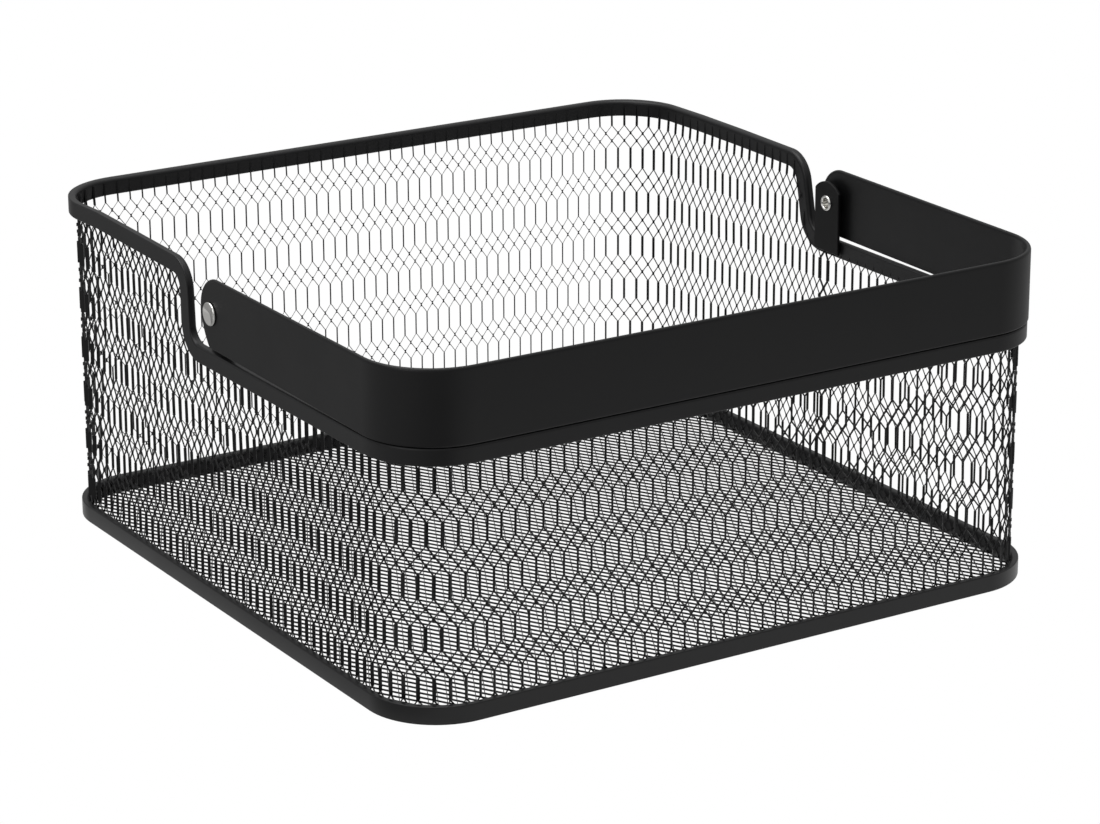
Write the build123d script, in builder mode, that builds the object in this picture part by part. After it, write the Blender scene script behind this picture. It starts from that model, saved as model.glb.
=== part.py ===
from build123d import *
from math import asin, cos, degrees, hypot, pi, radians, sin, tan
import os

# Wire locker basket, in millimetres.
# Origin: middle of the footprint, on the floor. Front is -Y, back is +Y, up is +Z.
# The basket's front half is low and its rear half is high, so that a hand can
# reach in below the handle. The rim steps between the two on both sides.

# Basket as a whole
width = 300.0
depth = 300.0
rear_height = 140.4
front_height = 108.3
corner_radius = 30.0

# Rim band, which steps down on both sides; the inner radii of its two bends are shares of
# the room that the step's rise leaves beside the band's own height
rim_height = 7.1
rim_thickness = 3.0
rim_edge = 0.5
step_y = 20.6
step_lean = 5.5
shoulder_share = 0.16886
foot_share = 0.28187

# Base band
base_height = 7.3
base_thickness = 3.0
base_edge = 0.5

# Expanded metal of the walls: the real pattern, drawn four times as large
sheet = 1.1
weld_gap = 0.15
cell_pitch = 24.0
bond_length = 36.0
bond_width = 4.2
half_step = 15.6
strand_width = 2.6
first_bond_z = 33.0
tuck = 0.5
least_gap_area = 20.0

# Expanded metal of the floor: diamonds, drawn eight times as large
floor_sheet = 1.0
floor_lift = 0.6
floor_pitch_x = 32.0
floor_pitch_y = 58.0
floor_strand = 4.0
floor_margin = 2.5

# Handle strap, which lies a small gap above the low rim and turns about pivot_y
pivot_y = -1.0
strap_thickness = 2.0
strap_height = 29.0
strap_gap = 1.2
strap_proud = 0.4
strap_edge = 0.4
arm_reach = 8.1
arm_end_radius = 12.3
arm_heel_radius = 26.0

# Tab that carries the rivet: its heights above and below the pivot
tab_thickness = 1.1
tab_width = 17.0
tab_drop = 21.5
tab_shoulder = 5.5
tab_rise = 9.3
tab_edge = 0.3

# Rivet and spacer
shank_radius = 2.75
running_clearance = 0.05
head_radius = 4.85
head_height = 1.0
head_rim = 0.5
head_crown_radius = 3.6
axial_clearance = 0.1
tail_radius = 3.4
tail_bore_radius = 1.9
tail_roll = 0.9
tail_lip = 0.6
tail_bore_depth = 4.0
spacer_radius = 5.0
spacer_clearance = 0.15

overrun = 10.0

# Places worked out from the sizes above
half_width = width / 2
half_depth = depth / 2
straight_x = half_width - corner_radius
straight_y = half_depth - corner_radius
rim_high_z = rear_height - rim_height / 2
rim_low_z = front_height - rim_height / 2
step_rise = rear_height - front_height
bend_room = step_rise / (1 - sin(radians(step_lean))) - rim_height
shoulder_bend = rim_height / 2 + shoulder_share * bend_room
foot_bend = rim_height / 2 + foot_share * bend_room
sheet_setback = rim_thickness + weld_gap
sheet_outer_x = half_width - sheet_setback
sheet_outer_y = half_depth - sheet_setback
sheet_inner_x = sheet_outer_x - sheet
sheet_inner_y = sheet_outer_y - sheet
sheet_low_z = floor_lift + floor_sheet
tab_outer_x = sheet_inner_x
tab_inner_x = tab_outer_x - tab_thickness
strap_outer_x = half_width + strap_proud
strap_outer_y = half_depth + strap_proud
strap_inner_x = strap_outer_x - strap_thickness
strap_low_z = front_height + strap_gap
strap_high_z = strap_low_z + strap_height
pivot_z = strap_low_z + strap_height / 2
hole_radius = shank_radius + running_clearance
side_axis = Axis((0, pivot_y, pivot_z), (1, 0, 0))
side_plane = Plane(origin=(0, pivot_y, pivot_z), x_dir=(1, 0, 0), z_dir=(0, 0, 1))


def step_corners(shift):
    """Corners of the rim's side line, moved square to itself by shift: rear, step top, step foot, front."""
    lean = tan(radians(step_lean))
    middle_z = (rim_high_z + rim_low_z) / 2
    leg_y = step_y - shift / cos(radians(step_lean))
    high_z = rim_high_z + shift
    low_z = rim_low_z + shift
    return [
        (half_depth + overrun, high_z),
        (leg_y + (high_z - middle_z) * lean, high_z),
        (leg_y + (low_z - middle_z) * lean, low_z),
        (-half_depth - overrun, low_z),
    ]


def step_line(shift):
    """The rim's side line, moved square to itself by shift, with its two bends."""
    return FilletPolyline(*step_corners(shift), radius=[shoulder_bend + shift, foot_bend - shift])


def diamond(pitch, half_height, strand):
    """Corners of the opening of a diamond cell, with half a strand taken off all round."""
    half_pitch = pitch / 2
    slant = hypot(half_pitch, half_height)
    share = 1 - (strand / 2) * slant / (half_pitch * half_height)
    across, up = half_pitch * share, half_height * share
    return [(across, 0), (0, up), (-across, 0), (0, -up)]


def hexagon(pitch):
    """Corners of the opening of a long cell that stands between two bonds."""
    half_pitch = pitch / 2
    slant = hypot(half_pitch, half_step)
    across = half_pitch - bond_width / 2
    tip = bond_length / 2 + half_step - (strand_width / 2) * slant / half_pitch
    side = tip - across * half_step / half_pitch
    return [(across, -side), (across, side), (0, tip), (-across, side), (-across, -side), (0, -tip)]


def cell_places(columns, pitch, top_z):
    """Centres of the long cells and of the diamond cells over a stretch of so many columns."""
    row_rise = bond_length + 3 * half_step
    rows = range(-1, int(top_z / row_rise) + 1)
    long_cells, diamonds = [], []
    for row in rows:
        bond_z = first_bond_z + row * row_rise
        start = -pitch + (row % 2) * pitch / 2
        for column in range(columns + 2):
            bond_u = start + column * pitch
            between_u = bond_u + pitch / 2
            long_cells.append((between_u, bond_z))
            diamonds.append((bond_u, bond_z + bond_length / 2 + half_step))
            diamonds.append((between_u, bond_z + bond_length / 2 + 2 * half_step))
    return long_cells, diamonds


def wall_gaps(length, top_z):
    """Draw the cells of a straight stretch that starts at the sketch's origin."""
    columns = round(length / cell_pitch)
    pitch = length / columns
    long_cells, diamonds = cell_places(columns, pitch, top_z)
    with Locations(*long_cells):
        Polygon(*hexagon(pitch), align=None)
    with Locations(*diamonds):
        Polygon(*diamond(pitch, half_step, strand_width), align=None)


def open_cells(gaps):
    """The drawn cells, without the slivers that a band's edge leaves."""
    return [face for face in gaps.sketch_local.faces() if face.area > least_gap_area]


def flat_wall(plane, length, height):
    """A straight stretch of wall, from the floor sheet up to the middle of the rim."""
    seen_low = base_height - tuck
    seen_high = height - rim_height / 2 + tuck
    with BuildSketch(plane) as gaps:
        wall_gaps(length, height)
        with Locations((length / 2, (seen_low + seen_high) / 2)):
            Rectangle(length, seen_high - seen_low, mode=Mode.INTERSECT)
    with BuildPart() as wall:
        with BuildSketch(plane):
            with Locations((length / 2, (sheet_low_z + height) / 2)):
                Rectangle(length, height - sheet_low_z)
            add(open_cells(gaps), mode=Mode.SUBTRACT)
        extrude(amount=sheet)
    return wall


def corner_wall(corner_y, height, first_angle):
    """A quarter turn of wall on the right side, whose cells are cut square to the bend."""
    outer_radius = corner_radius - sheet_setback
    inner_radius = outer_radius - sheet
    seen_low = base_height - tuck
    seen_high = height - rim_height / 2 + tuck
    arc_length = pi / 2 * (inner_radius + outer_radius) / 2
    columns = round(arc_length / cell_pitch)
    pitch = arc_length / columns
    long_cells, diamonds = cell_places(columns, pitch, height)
    with BuildPart() as corner:
        with BuildSketch(Plane.XY.offset(sheet_low_z)):
            with Locations((straight_x, corner_y)):
                Circle(outer_radius)
                Circle(inner_radius, mode=Mode.SUBTRACT)
            with BuildLine():
                quarter = [(straight_x, corner_y)]
                for turn in (0, 45, 90):
                    angle = radians(first_angle + turn)
                    reach = outer_radius * 2
                    quarter.append((straight_x + reach * cos(angle), corner_y + reach * sin(angle)))
                Polyline(*quarter, close=True)
            make_face(mode=Mode.INTERSECT)
        extrude(amount=height - sheet_low_z)
        for half_column in range(2 * columns + 1):
            centre_u = half_column * pitch / 2
            angle = radians(first_angle + 90 * centre_u / arc_length)
            outward = (cos(angle), sin(angle), 0)
            along = (-sin(angle), cos(angle), 0)
            near = [place for place in long_cells if abs(place[0] - centre_u) < pitch / 4]
            near_diamonds = [place for place in diamonds if abs(place[0] - centre_u) < pitch / 4]
            with BuildSketch(Plane(origin=(straight_x, corner_y, 0), x_dir=along, z_dir=outward)) as gaps:
                with Locations(*[(0, z) for u, z in near]):
                    Polygon(*hexagon(pitch), align=None)
                with Locations(*[(0, z) for u, z in near_diamonds]):
                    Polygon(*diamond(pitch, half_step, strand_width), align=None)
                with Locations((0, (seen_low + seen_high) / 2)):
                    Rectangle(2 * pitch, seen_high - seen_low, mode=Mode.INTERSECT)
            extrude(gaps.sketch, amount=corner_radius, mode=Mode.SUBTRACT)
    return corner


def long_edges(part, thickness):
    """Edges that run along a band, without those across it and the upright ones."""
    along = part.edges().filter_by(Axis.Z, reverse=True)
    return along.filter_by(lambda edge: edge.length > 1.5 * thickness)


def mirrored(right_piece):
    """The left-hand twin of a right-hand piece."""
    with BuildPart() as twin:
        mirror(right_piece.part, about=Plane.YZ)
    return twin


# Rim band: a ring in plan, cut to the stepped strip that it shows from the side
with BuildPart() as top_rim:
    with BuildSketch(Plane.XY):
        RectangleRounded(width, depth, corner_radius)
        RectangleRounded(
            width - 2 * rim_thickness,
            depth - 2 * rim_thickness,
            corner_radius - rim_thickness,
            mode=Mode.SUBTRACT,
        )
    extrude(amount=rear_height + overrun)
    with BuildSketch(Plane.YZ):
        with BuildLine():
            upper = step_line(rim_height / 2)
            lower = step_line(-rim_height / 2)
            Line(upper @ 0, lower @ 0)
            Line(upper @ 1, lower @ 1)
        make_face()
    extrude(amount=width, both=True, mode=Mode.INTERSECT)
    chamfer(long_edges(top_rim, rim_thickness), rim_edge)

# Base band: rounder outside, and nearly square inside, where the floor sheet lies
with BuildPart() as base_band:
    with BuildSketch(Plane.XY):
        RectangleRounded(width, depth, corner_radius)
    extrude(amount=base_height)
    chamfer(base_band.faces().filter_by(Axis.Z).edges(), base_edge)
    with BuildSketch(Plane.XY):
        RectangleRounded(
            width - 2 * base_thickness,
            depth - 2 * base_thickness,
            corner_radius - base_thickness,
        )
    extrude(amount=base_height, mode=Mode.SUBTRACT)

# Floor sheet, inside the base band
floor_width = width - 2 * base_thickness - 2 * weld_gap
floor_depth = depth - 2 * base_thickness - 2 * weld_gap
floor_corner = corner_radius - base_thickness - weld_gap
floor_columns = round(floor_width / floor_pitch_x)
floor_rows = round(floor_depth / floor_pitch_y)
pitch_x = floor_width / floor_columns
pitch_y = floor_depth / floor_rows
floor_cell = diamond(pitch_x, pitch_y / 2, floor_strand)
with BuildSketch(Plane.XY.offset(floor_lift)) as floor_gaps:
    with GridLocations(pitch_x, pitch_y, floor_columns, floor_rows):
        Polygon(*floor_cell, align=None)
    with GridLocations(pitch_x, pitch_y, floor_columns + 1, floor_rows + 1):
        Polygon(*floor_cell, align=None)
    RectangleRounded(
        floor_width - 2 * floor_margin,
        floor_depth - 2 * floor_margin,
        floor_corner - floor_margin,
        mode=Mode.INTERSECT,
    )
with BuildPart() as floor_mesh:
    with BuildSketch(Plane.XY.offset(floor_lift)):
        RectangleRounded(floor_width, floor_depth, floor_corner)
        add(open_cells(floor_gaps), mode=Mode.SUBTRACT)
    extrude(amount=floor_sheet)

# Straight walls at the back and the front
back_start = Plane(origin=(straight_x, sheet_inner_y, 0), x_dir=(-1, 0, 0), z_dir=(0, 1, 0))
front_start = Plane(origin=(-straight_x, -sheet_inner_y, 0), x_dir=(1, 0, 0), z_dir=(0, -1, 0))
wall_mesh_back = flat_wall(back_start, 2 * straight_x, rim_high_z)
wall_mesh_front = flat_wall(front_start, 2 * straight_x, rim_low_z)

# Right wall: a low front half, and a rear half that climbs with the step
right_front_start = Plane(origin=(sheet_inner_x, -straight_y, 0), x_dir=(0, 1, 0), z_dir=(1, 0, 0))
wall_mesh_right_front = flat_wall(right_front_start, straight_y, rim_low_z)

side = Plane.YZ.offset(sheet_inner_x)
rear_half = (straight_y / 2, (sheet_low_z + rear_height) / 2)
with BuildSketch(side) as under_rim:
    with BuildLine():
        edge_line = step_line(0)
        Polyline(edge_line @ 0, (half_depth + overrun, 0), (-half_depth - overrun, 0), edge_line @ 1)
    make_face()
    with Locations(rear_half):
        Rectangle(straight_y, rear_height - sheet_low_z, mode=Mode.INTERSECT)
with BuildSketch(side) as rear_gaps:
    wall_gaps(straight_y, rim_high_z)
    with BuildLine():
        seen_line = step_line(tuck - rim_height / 2)
        Polyline(seen_line @ 0, (half_depth + overrun, 0), (-half_depth - overrun, 0), seen_line @ 1)
    make_face(mode=Mode.INTERSECT)
    with Locations((straight_y / 2, rear_height / 2 + base_height - tuck)):
        Rectangle(straight_y, rear_height, mode=Mode.INTERSECT)
with BuildPart() as wall_mesh_right_rear:
    with BuildSketch(side):
        add(under_rim.sketch_local)
        add(open_cells(rear_gaps), mode=Mode.SUBTRACT)
    extrude(amount=sheet)

# Corners
corner_mesh_back_right = corner_wall(straight_y, rim_high_z, 0)
corner_mesh_front_right = corner_wall(-straight_y, rim_low_z, -90)

# Tab inside the wall, with a round top
with BuildPart() as right_tab:
    with BuildSketch(Plane.YZ.offset(tab_inner_x)):
        with BuildLine():
            rear_y = pivot_y + tab_width / 2
            front_y = pivot_y - tab_width / 2
            shoulder_z = pivot_z + tab_shoulder
            tab_low_z = pivot_z - tab_drop
            ThreePointArc((rear_y, shoulder_z), (pivot_y, pivot_z + tab_rise), (front_y, shoulder_z))
            Polyline((front_y, shoulder_z), (front_y, tab_low_z), (rear_y, tab_low_z), (rear_y, shoulder_z))
        make_face()
    extrude(amount=tab_thickness)
    chamfer(right_tab.faces().sort_by(Axis.X)[0].edges(), tab_edge)
    with BuildSketch(Plane.YZ.offset(tab_inner_x)):
        with Locations((pivot_y, pivot_z)):
            Circle(hole_radius)
    extrude(amount=tab_thickness, mode=Mode.SUBTRACT)

# Spacer that keeps the handle's arm outside the rim
with BuildPart() as right_spacer:
    with BuildSketch(Plane.YZ.offset(tab_outer_x)):
        with Locations((pivot_y, pivot_z)):
            Circle(spacer_radius)
            Circle(hole_radius, mode=Mode.SUBTRACT)
    extrude(amount=strap_inner_x - spacer_clearance - tab_outer_x)

# Rivet: a crowned head outside the arm and a flared hollow tail inside the tab
with BuildPart() as right_rivet:
    head_x = strap_outer_x + axial_clearance
    crown_x = head_x + head_height
    tail_x = tab_inner_x - tail_roll
    bore_end_x = tail_x + tail_bore_depth
    with BuildSketch(side_plane):
        with BuildLine():
            Polyline(
                (tab_inner_x, tail_radius),
                (tail_x, tail_bore_radius + tail_lip),
                (tail_x + tail_lip, tail_bore_radius),
                (bore_end_x, tail_bore_radius),
                (bore_end_x, 0),
            )
            Polyline(
                (bore_end_x, 0),
                (crown_x, 0),
                (crown_x, head_crown_radius),
                (head_x + head_rim, head_radius),
                (head_x, head_radius),
                (head_x, shank_radius),
                (tab_inner_x, shank_radius),
                (tab_inner_x, tail_radius),
            )
        make_face()
    revolve(axis=side_axis)

# Handle: one strap bent into a U round the front, with rounded arm ends at the pivots
with BuildPart() as handle:
    with BuildSketch(Plane.XY.offset(strap_low_z)):
        outer_corner = corner_radius + strap_proud
        RectangleRounded(2 * strap_outer_x, 2 * strap_outer_y, outer_corner)
        RectangleRounded(
            2 * strap_outer_x - 2 * strap_thickness,
            2 * strap_outer_y - 2 * strap_thickness,
            outer_corner - strap_thickness,
            mode=Mode.SUBTRACT,
        )
    extrude(amount=strap_height)
    with BuildSketch(Plane.YZ):
        rear_y = pivot_y + arm_reach
        arc_z = strap_high_z - arm_end_radius
        heel_turn = degrees(asin((arc_z - strap_low_z) / arm_heel_radius))
        front_y = -strap_outer_y - overrun
        with BuildLine():
            end_arc = CenterArc((rear_y - arm_end_radius, arc_z), arm_end_radius, 0, 90)
            heel_arc = CenterArc((rear_y - arm_heel_radius, arc_z), arm_heel_radius, 0, -heel_turn)
            Polyline(end_arc @ 1, (front_y, strap_high_z), (front_y, strap_low_z), heel_arc @ 1)
        make_face()
    extrude(amount=width, both=True, mode=Mode.INTERSECT)
    chamfer(long_edges(handle, strap_thickness), strap_edge)
    with BuildSketch(Plane.YZ):
        with Locations((pivot_y, pivot_z)):
            Circle(hole_radius)
    extrude(amount=width, both=True, mode=Mode.SUBTRACT)

pieces = {
    "top_rim": top_rim,
    "base_band": base_band,
    "floor_mesh": floor_mesh,
    "wall_mesh_back": wall_mesh_back,
    "wall_mesh_front": wall_mesh_front,
    "wall_mesh_right_front": wall_mesh_right_front,
    "wall_mesh_right_rear": wall_mesh_right_rear,
    "wall_mesh_left_front": mirrored(wall_mesh_right_front),
    "wall_mesh_left_rear": mirrored(wall_mesh_right_rear),
    "corner_mesh_back_right": corner_mesh_back_right,
    "corner_mesh_front_right": corner_mesh_front_right,
    "corner_mesh_back_left": mirrored(corner_mesh_back_right),
    "corner_mesh_front_left": mirrored(corner_mesh_front_right),
    "right_tab": right_tab,
    "left_tab": mirrored(right_tab),
    "right_spacer": right_spacer,
    "left_spacer": mirrored(right_spacer),
    "right_rivet": right_rivet,
    "left_rivet": mirrored(right_rivet),
    "handle": handle,
}

os.makedirs("parts", exist_ok=True)
for name, piece in pieces.items():
    piece.part.label = name
    export_step(piece.part, f"parts/{name}.step")
    print(name, "volume", round(piece.part.volume), "mm3, faces", len(piece.part.faces()))
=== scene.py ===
# %% [markdown]
# # A wire locker basket in black powder-coated steel
# The basket is a strip of expanded steel mesh wrapped round a square floor of finer
# mesh. Two steel bands hold it: one on the floor, and a rim that runs high at the back
# and steps down to a low front. A strap handle folds round the low front on two rivets.
# The solids give every place and size here. This lesson gives them their surfaces: the
# thousands of strands of the mesh, the rounded bands, the dished rivets and the paint.

import bpy
import numpy as np
from mathutils import Matrix, Vector


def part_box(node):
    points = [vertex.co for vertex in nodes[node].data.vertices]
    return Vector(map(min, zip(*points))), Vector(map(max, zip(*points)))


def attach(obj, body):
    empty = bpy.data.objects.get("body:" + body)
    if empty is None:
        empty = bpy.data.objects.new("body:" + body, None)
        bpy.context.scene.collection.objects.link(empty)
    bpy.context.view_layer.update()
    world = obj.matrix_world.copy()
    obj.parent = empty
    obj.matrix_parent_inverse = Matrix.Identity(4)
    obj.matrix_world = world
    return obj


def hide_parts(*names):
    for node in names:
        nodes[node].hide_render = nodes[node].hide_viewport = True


MM = 0.001
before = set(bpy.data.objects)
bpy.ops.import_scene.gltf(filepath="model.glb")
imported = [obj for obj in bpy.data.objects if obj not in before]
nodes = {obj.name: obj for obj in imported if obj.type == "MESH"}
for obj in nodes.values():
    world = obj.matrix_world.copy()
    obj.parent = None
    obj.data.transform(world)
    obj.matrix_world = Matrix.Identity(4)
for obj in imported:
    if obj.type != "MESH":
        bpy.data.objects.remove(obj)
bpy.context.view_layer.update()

# %% [markdown]
# ## Camera
# The photograph was taken from the front left, a little above the rim, with a long lens.
# Its edges give the camera: the distance, three angles and the focal length in pixels.
# The image centre is the lens's axis, so the camera needs no shift.

# %% Camera
photo_width_px = 1100
focal_px = 3750.28
sensor_width_mm = 36.0
camera_azimuth = np.radians(32.1)
camera_elevation = np.radians(18.682)
camera_roll = np.radians(-0.239)
camera_place = np.array([-777.186, -1247.601, 552.998]) * MM

forward = np.array([
    np.sin(camera_azimuth) * np.cos(camera_elevation),
    np.cos(camera_azimuth) * np.cos(camera_elevation),
    -np.sin(camera_elevation),
])
level_right = np.array([np.cos(camera_azimuth), -np.sin(camera_azimuth), 0.0])
level_up = np.cross(level_right, forward)
view_right = level_right * np.cos(camera_roll) + level_up * np.sin(camera_roll)
view_up = level_up * np.cos(camera_roll) - level_right * np.sin(camera_roll)

camera_data = bpy.data.cameras.new("camera")
camera_data.sensor_width = sensor_width_mm
camera_data.sensor_fit = "HORIZONTAL"
camera_data.lens = focal_px * sensor_width_mm / photo_width_px
camera_data.clip_start = 0.05
camera_data.clip_end = 20.0
camera = bpy.data.objects.new("camera", camera_data)
axes = np.column_stack([view_right, view_up, -forward])
place_rows = [list(row) + [place] for row, place in zip(axes, camera_place)]
camera.matrix_world = Matrix(place_rows + [[0, 0, 0, 1]])
bpy.context.scene.collection.objects.link(camera)
bpy.context.scene.camera = camera
print("lens in mm:", round(camera_data.lens, 2))

# %% [markdown]
# ## Paint and bare steel
# Everything but the rivets is black powder coat, baked on: a satin skin with a very fine
# orange peel. The rivets are bright bare steel. Colours are written as they look on a
# screen, in hex, and one function turns them to the linear values that a shader wants.


# %% Screen colour to linear
def linear(hex_colour):
    """Screen colour to linear: c/12.92 below 0.04045, else ((c + 0.055)/1.055) to the power 2.4."""
    channels = np.array([int(hex_colour[i:i + 2], 16) for i in (1, 3, 5)]) / 255
    low = channels / 12.92
    high = ((channels + 0.055) / 1.055) ** 2.4
    return (*np.where(channels <= 0.04045, low, high).tolist(), 1.0)


print("a middle grey of the screen is", round(linear("#808080")[0], 3), "in linear light")


# %% Nodes and materials
def add_node(tree, kind, settings=None, wires=(), **links):
    """Add a node with its properties; wires fill its sockets in order, links by their names."""
    made = tree.nodes.new(kind)
    for name, value in (settings or {}).items():
        setattr(made, name, value)
    filled = list(zip(made.inputs, wires))
    filled += [(made.inputs[name.replace("_", " ")], value) for name, value in links.items()]
    for socket, value in filled:
        if isinstance(value, bpy.types.NodeSocket):
            tree.links.new(value, socket)
        else:
            socket.default_value = value
    return made


def new_material(name):
    """A material with an empty node tree, and that tree."""
    material = bpy.data.materials.new(name)
    material.use_nodes = True
    material.node_tree.nodes.clear()
    return material, material.node_tree


# %% [markdown]
# Powder coat is a thermoset plastic film, about 0.08 mm thick, sprayed dry and baked. It
# flows just enough to round small edges and dries with an orange peel of about 0.6 mm.
# A noise of that size drives the bump, and a slower one lets the black and the gloss
# drift a little. The film is deep black where it faces the eye and shines at a slant. A
# plastic has an IOR of about 1.5, and the rough film here is given less, because it
# mirrors less than a smooth one. The tabs and spacers get the least IOR and a darker
# black: this is painted shade for the strap's shade over them, and it makes them look dullest.


# %% Powder coat
peel_mm = 0.6
peel_depth_mm = 0.01
drift_mm = 30.0
gloss_drift = 0.03
noise_low, noise_high = 0.3, 0.7


def powder_coat(name, deep, worn, roughness, ior):
    """Satin powder coat: a fine noise lifts the surface, a slow one drives colour and gloss."""
    material, tree = new_material(name)
    place = add_node(tree, "ShaderNodeTexCoord").outputs["Object"]
    noise = "ShaderNodeTexNoise"
    peel = add_node(tree, noise, Vector=place, Scale=1 / (peel_mm * MM), Detail=2.0)
    drift = add_node(tree, noise, Vector=place, Scale=1 / (drift_mm * MM), Detail=3.0)
    gloss = add_node(
        tree, "ShaderNodeMapRange", Value=drift.outputs["Fac"],
        From_Min=noise_low, From_Max=noise_high,
        To_Min=roughness - gloss_drift, To_Max=roughness + gloss_drift,
    )
    colour = add_node(tree, "ShaderNodeValToRGB", Fac=drift.outputs["Fac"])
    colour.color_ramp.elements[0].color = linear(deep)
    colour.color_ramp.elements[1].color = linear(worn)
    bump = add_node(
        tree, "ShaderNodeBump", Height=peel.outputs["Fac"],
        Strength=1.0, Distance=peel_depth_mm * MM,
    )
    shader = add_node(
        tree, "ShaderNodeBsdfPrincipled", Base_Color=colour.outputs["Color"],
        Roughness=gloss.outputs["Result"], IOR=ior, Normal=bump.outputs["Normal"],
    )
    add_node(tree, "ShaderNodeOutputMaterial", Surface=shader.outputs["BSDF"])
    return material


# %% Four paints
band_paint = powder_coat("powder_coated_steel_band", "#0e0e0f", "#141415", 0.38, 1.35)
strap_paint = powder_coat("powder_coated_steel_strap", "#070708", "#0b0b0c", 0.42, 1.36)
wire_paint = powder_coat("powder_coated_expanded_steel", "#08080a", "#0d0d0e", 0.35, 1.35)
# The tab paint is darker and duller than the rest: painted shade for the strap over the tabs.
shaded_tab_paint = powder_coat("powder_coated_steel_tab_shaded", "#060607", "#0a0a0b", 0.42, 1.25)
print("paints:", band_paint.name, strap_paint.name, wire_paint.name, shaded_tab_paint.name)

# %% [markdown]
# The rivets are headed cold from steel wire. Their faces carry faint marks of the tool, so
# that they reflect the room brightly and slightly blurred.


# %% Rivet steel
mark_mm = 0.5
smoother, rougher = 0.05, 0.08


def headed_steel(name, colour, roughness):
    """Bare bright steel: a metal whose roughness a fine noise moves up and down a little."""
    material, tree = new_material(name)
    place = add_node(tree, "ShaderNodeTexCoord").outputs["Object"]
    marks = add_node(tree, "ShaderNodeTexNoise", Vector=place, Scale=1 / (mark_mm * MM), Detail=3.0)
    gloss = add_node(
        tree, "ShaderNodeMapRange", Value=marks.outputs["Fac"],
        From_Min=noise_low, From_Max=noise_high,
        To_Min=roughness - smoother, To_Max=roughness + rougher,
    )
    shader = add_node(
        tree, "ShaderNodeBsdfPrincipled", Base_Color=linear(colour), Metallic=1.0,
        Roughness=gloss.outputs["Result"],
    )
    add_node(tree, "ShaderNodeOutputMaterial", Surface=shader.outputs["BSDF"])
    return material


rivet_steel = headed_steel("bright_headed_steel", "#d8d7d4", 0.12)
print("steel:", rivet_steel.name)

# %% [markdown]
# ## Sizes from the solids
# The places and the main sizes are read from the solids' boxes, so that the dressed parts
# sit exactly where the solids do. Only what no box shows, such as the bands' thickness, is
# written as a size of its own.


# %% Sizes
def box_mm(name):
    """Lowest and highest corner of a node, in millimetres."""
    low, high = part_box(name)
    return np.array(low) / MM, np.array(high) / MM


base_high = box_mm("base_band")[1]
rim_high = box_mm("top_rim")[1]
back_low, back_high = box_mm("wall_mesh_back")
front_high = box_mm("wall_mesh_front")[1]
floor_low, floor_high = box_mm("floor_mesh")
tab_low = box_mm("right_tab")[0]
rivet_low, rivet_high = box_mm("right_rivet")
strap_low, strap_high = box_mm("handle")

half_width = base_high[0]
half_depth = base_high[1]
straight = back_high[0]
corner_radius = half_width - straight
sheet_middle_radius = corner_radius - half_depth + (back_low[1] + back_high[1]) / 2
rim_high_z = back_high[2]
rim_low_z = front_high[2]
rim_height = 2 * (rim_high[2] - rim_high_z)
base_height = base_high[2]
band_thickness = 3.5
pivot = (rivet_low + rivet_high) / 2
print("straight", straight, "corner", corner_radius, "sheet radius", round(sheet_middle_radius, 2))
print("rim lines", rim_high_z, rim_low_z, "rim height", round(rim_height, 2))
print("pivot", np.round(pivot, 2))

# %% [markdown]
# ## Mesh data from arrays
# Blender takes a mesh fastest as flat arrays. One function turns a table of points and a
# table of four-cornered faces into an object at the origin, with its place in its mesh.


# %% Arrays to an object
def quad_object(name, points_mm, quads, material, smooth=False):
    """An object from points in millimetres, shape (n, 3), and faces, shape (m, 4)."""
    mesh = bpy.data.meshes.new(name)
    mesh.vertices.add(len(points_mm))
    mesh.vertices.foreach_set("co", (np.asarray(points_mm) * MM).astype(np.float32).ravel())
    mesh.loops.add(quads.size)
    mesh.loops.foreach_set("vertex_index", quads.astype(np.int32).ravel())
    mesh.polygons.add(len(quads))
    mesh.polygons.foreach_set("loop_start", np.arange(len(quads), dtype=np.int32) * 4)
    mesh.polygons.foreach_set("use_smooth", np.full(len(quads), smooth))
    mesh.update(calc_edges=True)
    mesh.validate()
    made = bpy.data.objects.new(name, mesh)
    made.data.materials.append(material)
    bpy.context.scene.collection.objects.link(made)
    return made


# %% [markdown]
# ## The wall's line
# Seen from above, the wall is a square with round corners. The distance s runs along its
# middle line, against the clock, from the middle of the right wall. A wall point is the
# centre of the nearest bend plus a radius along the outward direction, so both the centre
# and the direction's angle are straight lines in s between ten knots.

# %% Knots of the wall line
bend_length = np.pi / 2 * sheet_middle_radius
stretches = np.array([
    straight, bend_length, 2 * straight, bend_length, 2 * straight,
    bend_length, 2 * straight, bend_length, straight,
])
knots = np.concatenate([[0.0], np.cumsum(stretches)])
perimeter = knots[-1]
knot_angle = np.radians([0, 0, 90, 90, 180, 180, 270, 270, 360, 360])
knot_x = straight * np.array([1, 1, 1, -1, -1, -1, -1, 1, 1, 1])
knot_y = straight * np.array([0, 1, 1, 1, 1, -1, -1, -1, -1, 0])
overlap = 20.0
long_knots = np.concatenate([[-overlap], knots, [perimeter + overlap]])
long_angle = np.concatenate([[knot_angle[0]], knot_angle, [knot_angle[-1]]])
long_x = np.concatenate([[straight], knot_x, [straight]])
long_y = np.concatenate([[-overlap], knot_y, [overlap]])


# %% Place and directions on the wall
def wall_frame(s):
    """Outward direction and along direction at s: (cos a, sin a, 0) and (-sin a, cos a, 0)."""
    angle = np.interp(s, long_knots, long_angle)
    zero = np.zeros_like(angle)
    outward = np.stack([np.cos(angle), np.sin(angle), zero], axis=-1)
    along = np.stack([-np.sin(angle), np.cos(angle), zero], axis=-1)
    return outward, along


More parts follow.
